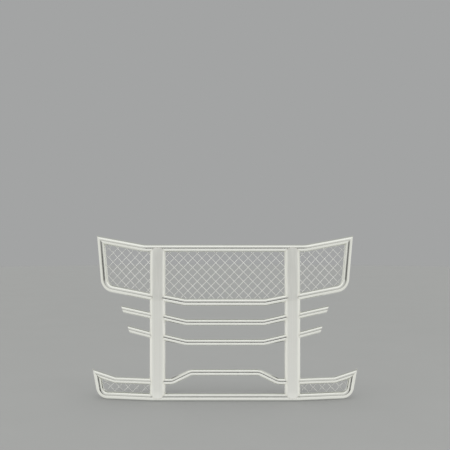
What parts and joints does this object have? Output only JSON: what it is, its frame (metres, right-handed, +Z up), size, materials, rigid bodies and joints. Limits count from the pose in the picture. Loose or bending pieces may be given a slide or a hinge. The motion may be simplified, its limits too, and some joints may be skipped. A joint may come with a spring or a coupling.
{
  "type": "front grille guard",
  "caption": "Welded tube guard for the front of a cab-over truck, with swept wire mesh wings, folding forward on two chassis brackets with latch pins.",
  "frame": {"origin": "middle of the guard's overall box at its lowest point, when the guard is shut", "axes": "+X across the truck, +Y rearwards to the truck, +Z up; the guard faces -Y"},
  "size_m": [2.3866, 0.347, 1.4666],
  "materials": {
    "polished_tube": "satin polish",
    "satin_upright": "satin brushed",
    "wire_mesh": "satin",
    "bracket_paint": "semi-gloss black paint",
    "zinc_hardware": "zinc plated",
    "bronze_bush": "machined",
    "spring_steel": "oiled",
    "rubber_buffer": "moulded"
  },
  "bodies": {
    "chassis_brackets": {"bracket_flange_left": "bracket_paint", "bracket_flange_right": "bracket_paint", "bracket_cheek_inner_left": "bracket_paint", "bracket_cheek_inner_right": "bracket_paint", "bracket_cheek_outer_left": "bracket_paint", "bracket_cheek_outer_right": "bracket_paint", "pivot_bolt_left": "zinc_hardware", "pivot_bolt_right": "zinc_hardware", "pivot_nut_left": "zinc_hardware", "pivot_nut_right": "zinc_hardware", "stop_pin_left": "zinc_hardware", "stop_pin_right": "zinc_hardware", "stop_plate_left": "bracket_paint", "stop_plate_right": "bracket_paint", "bump_stop_left": "rubber_buffer", "bump_stop_right": "rubber_buffer", "latch_guide_left": "bracket_paint", "latch_guide_right": "bracket_paint", "latch_spring_left": "spring_steel", "latch_spring_right": "spring_steel"},
    "guard": {"upright_lower_left": "satin_upright", "upright_lower_right": "satin_upright", "upright_upper_left": "satin_upright", "upright_upper_right": "satin_upright", "top_rail": "polished_tube", "side_hoop_left": "polished_tube", "side_hoop_right": "polished_tube", "frame_lower_rail": "polished_tube", "upper_mid_rail": "polished_tube", "lower_mid_rail": "polished_tube", "upper_stub_left": "polished_tube", "upper_stub_right": "polished_tube", "lower_stub_left": "polished_tube", "lower_stub_right": "polished_tube", "upper_end_cap_left": "polished_tube", "upper_end_cap_right": "polished_tube", "lower_end_cap_left": "polished_tube", "lower_end_cap_right": "polished_tube", "arch_rail": "polished_tube", "bottom_rail": "polished_tube", "pocket_rail_left": "polished_tube", "pocket_rail_right": "polished_tube", "mesh_centre": "wire_mesh", "mesh_wing_left": "wire_mesh", "mesh_wing_right": "wire_mesh", "mesh_pocket_left": "wire_mesh", "mesh_pocket_right": "wire_mesh", "pivot_lug_left": "satin_upright", "pivot_lug_right": "satin_upright", "pivot_bush_left": "bronze_bush", "pivot_bush_right": "bronze_bush", "latch_lug_left": "satin_upright", "latch_lug_right": "satin_upright"},
    "latch_left": {"latch_pin_left": "zinc_hardware", "latch_handle_left": "zinc_hardware"},
    "latch_right": {"latch_pin_right": "zinc_hardware", "latch_handle_right": "zinc_hardware"}
  },
  "joints": [
    {"name": "guard_tilt", "type": "hinge", "parent": "chassis_brackets", "child": "guard", "pos_m": [0, -0.03, 0.101], "axis": [1, 0, 0], "range_deg": [0, 85]},
    {"name": "latch_pin_left_slide", "type": "slide", "parent": "chassis_brackets", "child": "latch_left", "axis": [1, 0, 0], "range_m": [0, 0.0255]},
    {"name": "latch_pin_right_slide", "type": "slide", "parent": "chassis_brackets", "child": "latch_right", "axis": [-1, 0, 0], "range_m": [0, 0.0255]}
  ]
}
